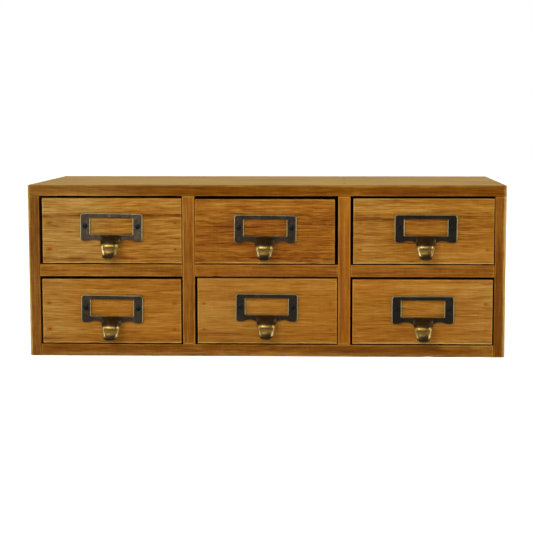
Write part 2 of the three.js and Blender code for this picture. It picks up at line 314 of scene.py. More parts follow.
class Shader:
    """Adds nodes to one node tree."""

    def __init__(self, tree):
        self.tree = tree
        tree.nodes.clear()

    def add(self, kind, settings=None, inputs=None, output=0):
        """A node of one kind, its settings made first and then its sockets; gives one output."""
        node = self.tree.nodes.new(kind)
        for key, value in (settings or {}).items():
            if key == "stops":
                set_stops(node.color_ramp, value)
            else:
                setattr(node, key, value)
        for key, value in (inputs or {}).items():
            if isinstance(value, Term):
                self.tree.links.new(value.socket, node.inputs[key])
            else:
                node.inputs[key].default_value = value
        return Term(self, node.outputs[output]) if node.outputs else node

    def shifted(self, vector, by):
        return self.add("ShaderNodeVectorMath", {"operation": "ADD"}, {0: vector, 1: by})

    def turned(self, vector, degrees):
        """The vector turned about the axes, and nothing else."""
        radians = tuple(math.radians(d) for d in degrees)
        return self.add("ShaderNodeMapping", {"vector_type": "POINT"},
                        {"Vector": vector, "Rotation": radians})

    def cloud(self, vector, scale, seed, detail, roughness=0.5):
        """Noise around 0, from about -0.5 to 0.5, with its own scale along each axis (per m)."""
        placed = self.add("ShaderNodeMapping", {"vector_type": "POINT"}, {
            "Vector": vector, "Scale": scale, "Location": (seed * 7.31, seed * 3.17, seed * 5.73),
        })
        value = self.add("ShaderNodeTexNoise", {"noise_dimensions": "3D"}, {
            "Vector": placed, "Scale": 1.0, "Detail": detail, "Roughness": roughness,
        })
        return value - 0.5

    def ramp(self, value, stops):
        return self.add("ShaderNodeValToRGB", {"stops": stops}, {"Fac": value})

    def mixed(self, factor, first, second):
        """Two colours mixed: a colour's sockets on the Mix node are 6 and 7, its output 2."""
        return self.add("ShaderNodeMix", {"data_type": "RGBA"},
                        {0: factor, 6: first, 7: second}, output=2)

    def shade(self, factor, dark, light):
        """A colour between two that are given as 0 to 255 screen values."""
        return self.mixed(factor, from_screen(dark), from_screen(light))

    def bump(self, height, distance):
        return self.add("ShaderNodeBump", {}, {"Height": height, "Distance": distance})

    def finish(self, **inputs):
        """The surface itself, from the names of the shader's sockets with _ for spaces."""
        named = {key.replace("_", " "): value for key, value in inputs.items()}
        surface = self.add("ShaderNodeBsdfPrincipled", {}, named)
        self.add("ShaderNodeOutputMaterial", {}, {"Surface": surface})


def set_stops(ramp, stops):
    elements = ramp.elements
    while len(elements) < len(stops):
        elements.new(1.0)
    for element, (position, colour) in zip(elements, stops):
        element.position = position
        element.color = colour


def new_material(name):
    """A material, its shader and the object's coordinates in it."""
    material = bpy.data.materials.new(name)
    material.use_nodes = True
    shader = Shader(material.node_tree)
    return material, shader, shader.add("ShaderNodeTexCoord", output="Object")


# ------------------------------------------------------------------ wood

GRAIN_TURN = {"X": (0, 0, 0), "Y": (0, 0, -90), "Z": (0, 90, 0)}

# The layers of noise that a board's finish is mixed from: how fine each one is along and across
# the grain (per m), what is added to the board's seed, its detail and its roughness.

LAYERS = {
    "wander": ((5, 16, 16), 1, 2, 0.5),
    "fine wander": ((22, 90, 90), 2, 2, 0.5),
    "ring depth": ((9, 60, 60), 3, 2, 0.5),
    "streak": ((13, 480, 480), 4, 3, 0.62),
    "fibre": ((50, 900, 900), 5, 2, 0.65),
    "blotch": ((14, 34, 34), 6, 3, 0.5),
    "pores": ((34, 620, 620), 7, 2, 0.5),
    "band drift": ((7, 30, 30), 8, 3, 0.5),
    "patch": ((60, 150, 150), 9, 3, 0.5),
    "warmth": ((6, 40, 40), 10, 2, 0.5),
    "wave": ((48, 60, 60), 11, 1, 0.5),
    "long streak": ((6, 210, 210), 12, 3, 0.5),
    "chatter": ((420, 90, 90), 13, 2, 0.5),
    "hairs": ((6, 200, 200), 14, 1, 0.5),
    "hair depth": ((30, 120, 120), 15, 2, 0.5),
    "flow": ((8, 16, 16), 16, 0, 0.5),
}
HAIR_SHARPNESS = 20.0

# A growth ring: early wood, then late wood that ends at once.

RING_STOPS = ((0.0, (0, 0, 0, 1)), (0.5, (0.12, 0.12, 0.12, 1)), (0.86, (1, 1, 1, 1)),
              (1.0, (0, 0, 0, 1)))

# How far things wander or reach, in mm: the rings, the bands, the patches on an arris and the
# edges of a strip; the fade of the pale arris (wearing and painted highlight) from an arris and of
# the strips from a front edge; the skin of the top face with its painted sheen and of a face with
# painted gap shade; the start and end of the painted shade behind a front arris; and a side's
# outer face.

RING_WANDER = 2.2
BAND_DRIFT = 12.0
PATCH_REACH = 1.6
STRIP_WOBBLE = 2.0
ARRIS_FADE = 0.3
FRONT_FADE = (1.5, 8.0)
SKIN = 0.1
TOP_SHEEN_SKIN = 0.6
GAP_SHADED_SKIN = 0.5
GAP_SHADE_START = (0.3, 1.0)
GAP_SHADE_END = (9.0, 16.0)
OUTER_SKIN = (-1.6, -0.2)
STAIN_STRETCH = 1.7

# Screen colours, the pairs from dark to light.

ORANGE = ((98, 40, 2), (190, 112, 26))
PALE_OLIVE = ((112, 76, 22), (200, 168, 96))
TOP_SHEEN = ((152, 107, 36), (214, 173, 80))
GAP_SHADE = (22, 11, 3)
OUTER_FACE = (170, 124, 54)
RUST_STAIN = (150, 82, 6)


def edge_distance(place, low, high):
    """How far a point of a board's surface is from the board's nearest arris."""
    a, b, c = ((place.of(axis) - low[axis]).least(high[axis] - place.of(axis))
               for axis in range(3))
    return a.least(b).most(a.most(b).least(c))


def wood(name, low, high, grain, seed, colours, look, bands=(), stains=(), strips=()):
    """A board's finish. colours run from dark to light; look holds the strengths."""
    material, shader, coordinates = new_material(name)
    place = shader.add("ShaderNodeSeparateXYZ", {}, {0: coordinates})
    centred = shader.shifted(coordinates, tuple((low + high) / -2))
    along = shader.turned(centred, GRAIN_TURN[grain])
    axes = shader.add("ShaderNodeSeparateXYZ", {}, {0: along})

    def layer(key, vector=along):
        scale, offset, detail, roughness = LAYERS[key]
        return shader.cloud(vector, scale, seed + offset, detail, roughness)

    # growth rings about a pith that lies beside the board and leans a little to it
    lean, pith_b, pith_c = look["pith"]
    across_b = axes.of(1) - pith_b
    across_c = axes.of(2) - pith_c + axes * lean
    radius = (across_b * across_b + across_c * across_c) ** 0.5
    radius = radius + layer("wander") * look["wander"] + layer("fine wander") * (RING_WANDER * MM)
    ring = shader.ramp((radius / look["spacing"]).fraction(), RING_STOPS)
    ring_depth = layer("ring depth") + 0.6

    # fine fibres, wavy where the wood is
    wave = layer("wave") * (look["wave"] * MM) + layer("flow") * (look["flow"] * MM)
    wavy = shader.add("ShaderNodeCombineXYZ", {}, {0: axes, 1: axes.of(1) + wave,
                                                   2: axes.of(2) + wave})
    long_streak, streak = layer("long streak", wavy), layer("streak", wavy)
    fibre, chatter, blotch = layer("fibre", wavy), layer("chatter"), layer("blotch")
    hair_depth = (layer("hair depth") * 2.2 + 0.55).clamped()
    lines = (1.0 - abs(layer("hairs", wavy)) * HAIR_SHARPNESS).clamped() * hair_depth
    pores = layer("pores", wavy).between(0.12, 0.22)

    tone = (
        look["tone"] - ring * ring_depth * look["rings"] + look["rings"] * 0.25
        + long_streak * look["long"] + streak * look["streak"] + fibre * look["fibre"]
        + blotch * look["blotch"] + chatter * look["chatter"] - pores * look["pores"]
        + look["lines"] * 0.18 - lines * look["lines"]
    )

    # bands of darker or lighter wood
    half_length = max(high[axis] - low[axis] for axis in range(3)) / 2
    drift = layer("band drift") * (BAND_DRIFT * MM)
    for height, half, change, bias in bands:
        offset = (place.of(2) + drift - (low[2] + height * MM)) / (half * MM)
        band = (1.0 - offset * offset).clamped()
        side = (axes * (bias / half_length) + 1.0).clamped()
        tone = tone + band * side * change

    # arrises paler in patches: partly wearing, partly a painted highlight where the lights catch
    # them
    patch = layer("patch")
    near = edge_distance(place, low, high) + patch * (PATCH_REACH * MM)
    rubbed_and_lit = 1.0 - near.between(ARRIS_FADE * MM, look["rub_width"])
    tone = tone + rubbed_and_lit * look["wear"]

    # strips along a front edge, paler and more olive: finish thinned by wearing, yellower wood, and
    # a painted sheen and highlight where the lights catch the arrises and the case's left end
    olive = None
    front = 1.0 - place.of(1).between(*(low[1] + fade * MM for fade in FRONT_FADE))
    for axis, middle, half, change, tint in strips:
        offset = (place.of(axis) + patch * (STRIP_WOBBLE * MM) - middle) / half
        strip = (1.0 - abs(offset)).between(0.0, 0.8) * front
        tone = tone + strip * change
        olive = strip * tint if olive is None else olive.most(strip * tint)

    tone = tone.clamped()
    colour = shader.ramp(tone, tuple(zip((0.0, 0.5, 0.98), map(scaled, colours))))
    warm = (layer("warmth") * look["warmth"] + look.get("warm", 0.0)).clamped()
    colour = shader.mixed(warm, colour, shader.shade(tone, *ORANGE))
    # the strips' paler olive colour, which in places is a painted sheen and highlight
    if olive is not None:
        colour = shader.mixed(olive, colour, shader.shade(tone, *PALE_OLIVE))

    def upper_face(skin):
        return place.of(2).between(high[2] - skin * MM, high[2] - SKIN * MM)

    # the top face painted paler and more olive: a painted sheen that stands in for the grazing
    # reflection of the room
    if look.get("sunned"):
        brightness = (long_streak * 0.9 + streak * 0.7 + fibre * 0.9 + blotch * 0.8
                - ring * ring_depth * 0.25 - pores * 0.15 + 0.55).clamped()
        colour = shader.mixed(upper_face(TOP_SHEEN_SKIN) * look["sunned"], colour,
                              shader.shade(brightness, *TOP_SHEEN))

    # painted shade behind a shelf's front arris, in the gap under a drawer front: a dark strip that
    # stands in for the shade there
    if look.get("grimed"):
        depth = place.of(1) - low[1]
        behind = depth.between(*(d * MM for d in GAP_SHADE_START))
        behind = behind * (1.0 - depth.between(*(d * MM for d in GAP_SHADE_END)))
        colour = shader.mixed(behind * upper_face(GAP_SHADED_SKIN) * look["grimed"], colour,
                              from_screen(GAP_SHADE))

    # the outer face of a side, a little paler than its edges
    if look.get("outside"):
        face_x, outward = look["outside"]
        outer = ((place - face_x) * outward).between(*(d * MM for d in OUTER_SKIN))
        colour = shader.mixed(outer * 0.3, colour, from_screen(OUTER_FACE))

    # rust that has crept into the wood round a brad
    for x, z, radius_mm, strength in stains:
        dx = (place - x) / (radius_mm * STAIN_STRETCH * MM)
        dz = (place.of(2) - z) / (radius_mm * MM)
        spot = 1.0 - (dx * dx + dz * dz + streak * 1.6).between(0.1, 1.2)
        colour = shader.mixed(spot * strength, colour, from_screen(RUST_STAIN))

    relief = ring * 0.35 + streak * 0.9 + fibre * 0.5 - pores * 0.6
    normal = shader.bump(relief, look["relief"] * MM)
    roughness = (look["roughness"] - streak * 0.18 + pores * 0.12 + blotch * 0.15).clamped()
    shader.finish(Base_Color=colour, Roughness=roughness, Normal=normal, IOR=1.46,
                  Specular_IOR_Level=look["gloss"])
    return material


# Each wood's strengths. pith, wander, spacing and rub_width are in m, wave, flow and relief in mm.

CASE_LOOK = {
    "pith": (0.05, 0.03, 0.02), "wander": 0.008, "spacing": 0.0042, "rings": 0.16,
    "wave": 0.3, "flow": 3.0, "streak": 0.7, "fibre": 1.0, "long": 0.6, "blotch": 0.8,
    "chatter": 0.2, "pores": 0.12, "lines": 0.14, "rub_width": 0.0019, "warmth": 0.5,
    "relief": 0.10, "roughness": 0.52, "gloss": 0.07,
}
FRONT_LOOK = {
    "wander": 0.012, "spacing": 0.0038, "flow": 4.0, "streak": 0.55, "fibre": 1.25, "long": 0.4,
    "blotch": 0.3, "chatter": 0.12, "pores": 0.2, "wear": 0.30, "rub_width": 0.0012,
    "warmth": 1.1, "relief": 0.4, "roughness": 0.62, "gloss": 0.07,
}
BARE_LOOK = {
    "tone": 0.5, "wave": 0.3, "flow": 6.0, "long": 0.2, "chatter": 0.15, "lines": 0.1,
    "rub_width": 0.001, "gloss": 0.3,
}
BOX_LOOK = {
    **BARE_LOOK, "pith": (0.03, 0.03, 0.05), "wander": 0.008, "spacing": 0.0045, "rings": 0.18,
    "streak": 0.22, "fibre": 0.12, "blotch": 0.16, "pores": 0.04, "wear": 0.05, "warmth": 0.25,
    "relief": 0.08, "roughness": 0.68,
}
PLY_LOOK = {
    **BARE_LOOK, "pith": (0.02, 0.25, 0.1), "wander": 0.05, "spacing": 0.009, "rings": 0.14,
    "streak": 0.25, "fibre": 0.14, "blotch": 0.2, "pores": 0.08, "wear": 0.03, "warmth": 0.3,
    "relief": 0.05, "roughness": 0.7,
}
BOX_COLOURS = [from_screen(c)[:3] for c in ((150, 104, 52), (198, 156, 98), (226, 196, 146))]
PLY_COLOURS = [from_screen(c)[:3] for c in ((112, 76, 38), (164, 122, 70), (200, 164, 112))]

# ------------------------------------------------------------------ metal

UMBER = ((40, 25, 11), (60, 40, 20))
GOLDEN = ((150, 118, 46), (212, 172, 84))


def bronze(name, patina_and_light, brass_and_highlight, lightness, seed):
    """Darkened bronze, bright where an attribute says: metal bared by rubbing, with painted
    highlights where the lights reflect; its lightness is a painted light and shade that differs
    from drawer to drawer.
    """
    material, shader, coordinates = new_material(name)
    rub = shader.add("ShaderNodeAttribute", {"attribute_name": "rub"}, output="Fac")
    pulled = shader.add("ShaderNodeAttribute", {"attribute_name": "pulled"}, output="Fac")
    mottle = shader.cloud(coordinates, (360, 360, 360), seed, detail=4, roughness=0.6)
    cloudy = shader.cloud(coordinates, (90, 90, 90), seed + 1, detail=3)
    brushed = shader.cloud(coordinates, (120, 900, 1500), seed + 2, detail=2)

    # the plate's darkened bronze made lighter or darker per drawer: a painted light and shade
    plate = shader.mixed((mottle * 1.3 + cloudy * 0.8 + 0.45).clamped(),
                         scaled(patina_and_light, 0.5 * lightness), scaled(patina_and_light, 1.6 * lightness))
    dark = shader.mixed(pulled, plate, shader.shade((mottle + 0.5).clamped(), *UMBER))
    golden = shader.shade((mottle + brushed + 0.5).clamped(), *GOLDEN)
    # golden at the pull's bend and cream on its edges and the plate's rim, and below how much of it
    # shows: partly metal bared by rubbing, partly painted highlights where the lights reflect
    golden_share = pulled * (1.0 - rub.between(0.6, 0.8))
    bright = shader.mixed(golden_share, scaled(brass_and_highlight), golden)
    uneven = (mottle * 0.25 + cloudy * 0.3) * (rub * 3.0 + lightness * 0.5).clamped()
    bare = (rub + uneven).clamped()
    colour = shader.mixed(bare, dark, bright)
    roughness = (0.44 - bare * 0.2 + mottle * 0.15).clamped()
    normal = shader.bump(mottle * (1.0 - bare * 0.8), 0.05 * MM)
    shader.finish(Base_Color=colour, Metallic=bare * 0.2 + 0.8, Roughness=roughness,
                  Normal=normal)
    return material


def black_steel(name, rgb, seed):
    """Blackened steel with a fine speckle."""
    material, shader, coordinates = new_material(name)
    speck = shader.cloud(coordinates, (700, 700, 700), seed, detail=4)
    colour = shader.mixed((speck + 0.5).clamped(), scaled(rgb, 0.6), scaled(rgb, 1.6))
    shader.finish(Base_Color=colour, Metallic=0.7, Roughness=(speck * 0.3 + 0.4).clamped(),
                  Normal=shader.bump(speck, 0.03 * MM))
    return material


def rusty_steel(name, light, dark, seed):
    """Dull steel between two screen colours."""
    material, shader, coordinates = new_material(name)
    speck = shader.cloud(coordinates, (1300, 1300, 1300), seed, detail=4)
    colour = shader.shade((speck * 1.6 + 0.5).clamped(), dark, light)
    shader.finish(Base_Color=colour, Roughness=(speck * 0.3 + 0.7).clamped(),
                  Normal=shader.bump(speck, 0.05 * MM), Specular_IOR_Level=0.1)
    return material

# ------------------------------------------------------------------ pieces


def each_once(items):
    """The items in their own order, each of them once."""
    return list(dict.fromkeys(items))


def set_down(name, bm, material, body, replaces=()):
    """Turns a bmesh into a finished piece that rides on a body."""
    mesh = bpy.data.meshes.new(name)
    bm.to_mesh(mesh)
    bm.free()
    mesh.materials.append(material)
    mesh.polygons.foreach_set("use_smooth", [True] * len(mesh.polygons))
    piece = bpy.data.objects.new(name, mesh)
    bpy.context.scene.collection.objects.link(piece)
    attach(piece, body)
    if replaces:
        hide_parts(*replaces)
    return piece


def divide(bm, axis, low, high, step):
    """Cuts the mesh into even slices across one axis."""
    count = int((high[axis] - low[axis]) / step)
    normal = Vector((0, 0, 0))
    normal[axis] = 1.0
    for index in range(1, count):
        point = Vector(low)
        point[axis] = low[axis] + (high[axis] - low[axis]) * index / count
        geometry = bm.verts[:] + bm.edges[:] + bm.faces[:]
        bmesh.ops.bisect_plane(bm, geom=geometry, plane_co=point, plane_no=normal, dist=1e-6)


def sides_at(point, low, high):
    """The faces of the box that a point lies on, such as ('-y', '+z')."""
    found = []
    for axis, letter in enumerate("xyz"):
        if abs(point[axis] - low[axis]) < 1e-5:
            found.append("-" + letter)
        elif abs(point[axis] - high[axis]) < 1e-5:
            found.append("+" + letter)
    return found


ARRIS_UNIT = 2.5  # mm, the radius at a bevel weight of 1
ALONG_SLICE, ACROSS_SLICE, WIDE = 7.0, 16.0, 30.0  # mm, and a face is only cut if it is wide
DENT_SCALE, CHIP_SCALE, CHIP_FROM, CHIP_DEPTH = 90, 160, 0.38, 2.2
FOOT_WEAR = 2.4
NAIL_STEPS = 12


def board(bm, low, high, grain, arrises, other, seed, unevenness):
    """A planed board with its own radius on each arris, and arrises that are a little uneven."""
    centre = (low + high) / 2
    size = Matrix.Diagonal((*(high - low), 1.0))
    bmesh.ops.create_cube(bm, size=1.0, matrix=Matrix.Translation(centre) @ size)
    grain_axis = "XYZ".index(grain)
    for axis in range(3):
        if axis == grain_axis:
            divide(bm, axis, low, high, ALONG_SLICE * MM)
        elif high[axis] - low[axis] > WIDE * MM:
            divide(bm, axis, low, high, ACROSS_SLICE * MM)

    weights = bm.edges.layers.float.new("bevel_weight_edge")
    for edge in bm.edges:
        faces = sides_at((edge.verts[0].co + edge.verts[1].co) / 2, low, high)
        if len(faces) == 2:
            edge[weights] = arrises.get("".join(faces), other) / ARRIS_UNIT

    for vert in bm.verts:
        faces = sides_at(vert.co, low, high)
        if len(faces) != 2 or arrises.get("".join(faces), other) <= JOINT_ARRIS:
            continue
        dent = abs(noise.noise(vert.co * DENT_SCALE + Vector((seed, 0, 0)))) * 0.5
        chip = noise.noise(vert.co * CHIP_SCALE + Vector((0, seed, 5))) - CHIP_FROM
        depth = (dent + max(0.0, chip) * CHIP_DEPTH) * unevenness
        for face in faces:
            axis = "xyz".index(face[1])
            if axis != grain_axis:
                inward = math.copysign(depth, centre[axis] - vert.co[axis])
                vert.co[axis] += inward * (FOOT_WEAR if "-z" in faces else 1.0)


def round_arrises(piece, segments=3):
    """Rounds the arrises by their weights, and keeps the flat faces flat in their shading."""
    bevel = piece.modifiers.new("Arrises", "BEVEL")
    bevel.width = ARRIS_UNIT * MM
    bevel.limit_method = "WEIGHT"
    bevel.segments = segments
    bevel.profile = 0.5
    bevel.harden_normals = True
    bevel.use_clamp_overlap = True


def ease(bm, edges, width):
    """Bevels edges in two steps."""
    bmesh.ops.bevel(bm, geom=edges, offset=width, offset_type="OFFSET", segments=2, profile=0.5,
                    affect="EDGES", material=-1, clamp_overlap=True)


def planed_copy(node, arris):
    """A copy of a CAD solid with its doubles merged, its faces made whole and its edges eased."""
    bm = bmesh.new()
    bm.from_mesh(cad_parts[node].data)
    bmesh.ops.remove_doubles(bm, verts=bm.verts, dist=1e-6)
    bmesh.ops.dissolve_limit(bm, angle_limit=math.radians(1), verts=bm.verts, edges=bm.edges)
    ease(bm, [edge for edge in bm.edges if edge.calc_face_angle(0.0) > 0.5], arris)
    return bm


def flatten_shading(piece, degrees=30):
    """Leaves flat faces flat and the eased edges smooth."""
    piece.data.set_sharp_from_angle(angle=math.radians(degrees))
    weighted = piece.modifiers.new("Flat faces", "WEIGHTED_NORMAL")
    weighted.keep_sharp = True
    weighted.weight = 100


def nail_heads(bm, places, axis, outward, radius, height):
    """Low round heads at places on a face, each with an eased rim."""
    turn = {"x": Matrix.Rotation(math.radians(90), 4, "Y"),
            "y": Matrix.Rotation(math.radians(90), 4, "X"), "z": Matrix.Identity(4)}[axis]
    for place in places:
        made = bmesh.ops.create_cone(bm, cap_ends=True, segments=NAIL_STEPS, radius1=radius,
                                     radius2=radius, depth=height,
                                     matrix=Matrix.Translation(place) @ turn)
        index = "xyz".index(axis)
        edges = each_once(edge for vert in made["verts"] for edge in vert.link_edges)
        ease(bm, [edge for edge in edges if all(
            (vert.co[index] - place[index]) * outward > 0 for vert in edge.verts)], radius * 0.25)


# ------------------------------------------------------------------ the case


def case_look(settings, node, low, high):
    """The strengths of one case board's finish."""
    look = {**CASE_LOOK, "tone": CASE_TONES[node], "wear": settings.wear * 0.5,
            "warm": CASE_WARMTH.get(node, 0.0)}
    # painted shade in the gap under the drawer fronts, on the shelves and the bottom board
    if "shelf" in node or node == "bottom_board":
        look["grimed"] = 0.95
    if "divider" in node:
        look.update(wear=settings.wear * 0.9, streak=0.6, fibre=0.8)
    # a painted sheen on the top's upper face
    if node == "top_board":
        look.update(sunned=0.95, gloss=0.015)
    if "side" in node:
        look["outside"] = (low.x, -1) if node == "left_side" else (high.x, 1)
    return look


class CaseBoards(Operator):
    """Makes the nine boards of the case"""

    bl_idname = "apothecary.case_boards"
    bl_label = "Case boards"

    def execute(self, context):
        settings = context.scene.apothecary_case
        colours = (settings.dark, settings.middle, settings.light)
        for index, (node, (grain, arrises)) in enumerate(CASE_BOARDS.items()):
            low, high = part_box(node)
            strips = []
            for letter, at, half, change, tint in CASE_STRIPS.get(node, ()):
                axis = "xyz".index(letter)
                middle = (low if at >= 0 else high)[axis] + at * MM
                strips.append((axis, middle, half * MM, change, tint))
            bm = bmesh.new()
            board(bm, low, high, grain, arrises, JOINT_ARRIS, index * 11.3, 0.22 * MM)
            material = wood(f"stained {node}", low, high, grain, 3.7 * index + 1, colours,
                            case_look(settings, node, low, high), strips=strips)
            piece = set_down(f"{node}_wood", bm, material, "cabinet", (node,))
            round_arrises(piece)
        return {"FINISHED"}


PANEL_PINS = 7
PIN_INSET = 5.5 * MM
NAIL_DEPTHS = (0.14, 0.5, 0.86)


class BackPanel(Operator):
    """Makes the thin plywood back panel and the pins that hold it"""

    bl_idname = "apothecary.back_panel"
    bl_label = "Back panel"

    def execute(self, context):
        low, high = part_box("back_panel")
        material = wood("back plywood", low, high, "X", 71.3, PLY_COLOURS, PLY_LOOK)
        piece = set_down("back_panel_ply", planed_copy("back_panel", 0.25 * MM), material,
                         "cabinet", ("back_panel",))
        flatten_shading(piece)

        places = []
        for step in range(PANEL_PINS):
            x = low.x + PIN_INSET + (high.x - low.x - 2 * PIN_INSET) * step / (PANEL_PINS - 1)
            places += [Vector((x, high.y, z)) for z in (low.z + PIN_INSET, high.z - PIN_INSET)]
        pins = bmesh.new()
        nail_heads(pins, places, "y", 1, 1.3 * MM, 0.5 * MM)
        steel = rusty_steel("pin steel", (150, 146, 138), (84, 72, 58), 5.1)
        set_down("back_panel_pins", pins, steel, "cabinet")
        return {"FINISHED"}


def middle_of(node):
    low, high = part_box(node)
    return (low + high) / 2


class CaseNails(Operator):
    """Sets small nails through the top into the uprights, and through the sides"""

    bl_idname = "apothecary.case_nails"
    bl_label = "Case nails"

    def execute(self, context):
        settings = context.scene.apothecary_case
        low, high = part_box("top_board")
        depths = [low.y + (high.y - low.y) * share for share in NAIL_DEPTHS]
        size = (settings.nail_radius, 0.3 * MM)
        bm = bmesh.new()
        uprights = [middle_of(node).x
                    for node in ("left_side", "left_divider", "right_divider", "right_side")]
        nail_heads(bm, [Vector((x, y, high.z)) for x in uprights for y in depths], "z", 1, *size)
        levels = [middle_of(node).z for node in ("bottom_board", "left_shelf")]
        for x, outward in ((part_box("left_side")[0].x, -1), (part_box("right_side")[1].x, 1)):
            nail_heads(bm, [Vector((x, y, z)) for z in levels for y in depths], "x", outward,
                       *size)
        steel = rusty_steel("nail steel", (96, 62, 30), (52, 32, 16), 2.4)
        set_down("case_nail_heads", bm, steel, "cabinet")
        return {"FINISHED"}


# ------------------------------------------------------------------ the drawers


def brad_places(settings, low, high):
    """The brads' heads on a drawer front, two at each end."""
    return [
        Vector((x, low.y, low.z + height))
        for x in (low.x + settings.brad_inset, high.x - settings.brad_inset)
        for height in (settings.brad_low, settings.brad_high)
    ]


def front_look(settings, drawer, index):
    """The strengths of one drawer front's finish."""
    return {
        **FRONT_LOOK, **{key: drawer[key] for key in ("tone", "rings", "wave", "lines", "warm")},
        "streak": FRONT_LOOK["streak"] * drawer["fine"],
        "fibre": FRONT_LOOK["fibre"] * drawer["fine"],
        "relief": FRONT_LOOK["relief"] * settings.brushed,
        "pith": (0.05 * math.sin(index * 2.1), 0.03 + 0.006 * index, 0.03 * math.cos(index * 1.7)),
    }


class DrawerFronts(Operator):
    """Makes the six wire-brushed drawer fronts"""

    bl_idname = "apothecary.drawer_fronts"
    bl_label = "Drawer fronts"

    def execute(self, context):
        settings = context.scene.apothecary_drawers
        colours = (settings.dark, settings.middle, settings.light)
        arris = settings.arris / MM
        arrises = {key: arris for key in ("-y+z", "-y-z", "-x-y", "+x-y")}
        for index, (name, drawer) in enumerate(DRAWERS.items()):
            node = f"{name}_drawer_front"
            low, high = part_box(node)
            stains = [(place.x, place.z, 1.6 + 0.9 * share, 0.55 + 0.4 * share)
                      for place, share in zip(brad_places(settings, low, high), drawer["rust"])]
            bm = bmesh.new()
            foot = Vector((low.x, low.y, low.z + settings.foot_gap))
            board(bm, foot, high, "X", arrises, 0.3, index * 17.9 + 3, 0.35 * MM)
            strips = [(0, low.x + at * MM, half * MM, 0.0, tint)
                      for at, half, tint in drawer["tints"]]
            # a paler strip along the foot: partly wearing, partly a painted highlight on the foot's
            # arris
            strips.append((2, foot.z + 0.5 * MM, 1.2 * MM, 0.42, 0.3))
            material = wood(f"brushed {node}", low, high, "X", 5.3 * index + 40, colours,
                            front_look(settings, drawer, index), bands=drawer["bands"],
                            stains=stains, strips=strips)
            piece = set_down(f"{node}_wood", bm, material, f"{name}_drawer", (node,))
            round_arrises(piece, segments=2)
        return {"FINISHED"}


class Brads(Operator):
    """Sets the four brads of each drawer front"""

    bl_idname = "apothecary.brads"
    bl_label = "Brads"

    def execute(self, context):
        settings = context.scene.apothecary_drawers
        rusted = rusty_steel("rusted brad steel", (158, 92, 20), (92, 46, 8), 8.8)
        stained = rusty_steel("stained brad steel", (152, 96, 28), (122, 72, 18), 8.9)
        for name in DRAWERS:
            steel = rusted if name.endswith("left") else stained
            low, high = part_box(f"{name}_drawer_front")
            bm = bmesh.new()
            nail_heads(bm, brad_places(settings, low, high), "y", -1, settings.brad_radius,
                       0.24 * MM)
            set_down(f"{name}_brad_heads", bm, steel, f"{name}_drawer")
        return {"FINISHED"}


class DrawerBoxes(Operator):
    """Makes the sides, back and bottom panel behind each drawer front"""

    bl_idname = "apothecary.drawer_boxes"
    bl_label = "Drawer boxes"

    def execute(self, context):
        boards = (("drawer_side_left", "Y"), ("drawer_side_right", "Y"), ("drawer_back", "X"))
        for index, name in enumerate(DRAWERS):
            for order, (label, grain) in enumerate(boards):
                node = f"{name}_{label}"
                seed = 100 + index * 9.1 + order * 2.3
                material = wood(f"bare {node}", *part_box(node), grain, seed, BOX_COLOURS, BOX_LOOK)
                piece = set_down(f"{node}_wood", planed_copy(node, 0.4 * MM), material,
                                 f"{name}_drawer", (node,))
                flatten_shading(piece)
            node = f"{name}_drawer_bottom"
            material = wood(f"ply {node}", *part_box(node), "X", 160 + index * 4.7, PLY_COLOURS,
                            PLY_LOOK)
            piece = set_down(f"{node}_ply", planed_copy(node, 0.2 * MM), material,
                             f"{name}_drawer", (node,))
            flatten_shading(piece)
        return {"FINISHED"}


# ------------------------------------------------------------------ the card frames
# A frame's own space: x across, y into the wood, z up, its top edge's middle at the origin.
# Outlines and paths are in mm.

LOBE_FOOT = -27.2
NOTCH = -25.4
SCREW_X = 26.0
SCREW_Z = -12.7
SCREW_HOLE = 1.6
PLATE_FACE = 2.2
CARD_SLOT = 0.9
SPACER = CARD_SLOT + 0.05
SPACER_INSET = 0.6
CARD_HALF = 23.35
CARD_FOOT = -22.2


def bend(points, steps):
    """The points of a cubic curve through the first and the last of four, without the last."""
    corners = [Vector((*p, 0)) for p in points]
    return [(p.x, p.y) for p in interpolate_bezier(*corners, steps + 1)][:-1]


def arc(x, z, radius, degrees):
    """Points at angles about x, z."""
    angles = [math.radians(d) for d in degrees]
    return [(x + radius * math.cos(a), z + radius * math.sin(a)) for a in angles]


def corner(x, z, radius, start):
    """A quarter turn about x, z that starts at an angle in degrees and runs clockwise."""
    return arc(x, z, radius, range(start, start - 91, -15))


def screw_hole(side):
    return arc(side * SCREW_X, SCREW_Z, SCREW_HOLE, [22.5 * step for step in range(16)])


def mirrored(half):
    """A closed outline from its right half, which runs from the top to the foot."""
    return half + [(-x, z) for x, z in reversed(half) if abs(x) > 1e-6]


def plate_half(width):
    """The right half of the plate's outline."""
    half = width / 2
    lobe = half - 6.5
    return [
        (0.0, 0.0),
        *corner(half - 2.9, -2.9, 2.9, 90),
        *corner(half - 2.7, LOBE_FOOT + 2.7, 2.7, 0),
        *bend(((lobe, LOBE_FOOT), (lobe - 2, LOBE_FOOT), (19.5, NOTCH), (17.5, NOTCH)), 8),
        *bend(((17.5, NOTCH), (14.5, NOTCH), (11.9, LOBE_FOOT + 0.6), (10.4, LOBE_FOOT)), 8),
        (10.4, LOBE_FOOT),
        (0.0, LOBE_FOOT),
    ]


def window_half(width):
    """The right half of the window's outline."""
    half = width / 2
    return [(0.0, -4.0), *corner(half - 1.2, -5.2, 1.2, 90), *corner(half - 1.2, -19.8, 1.2, 0),
            (0.0, -21.0)]


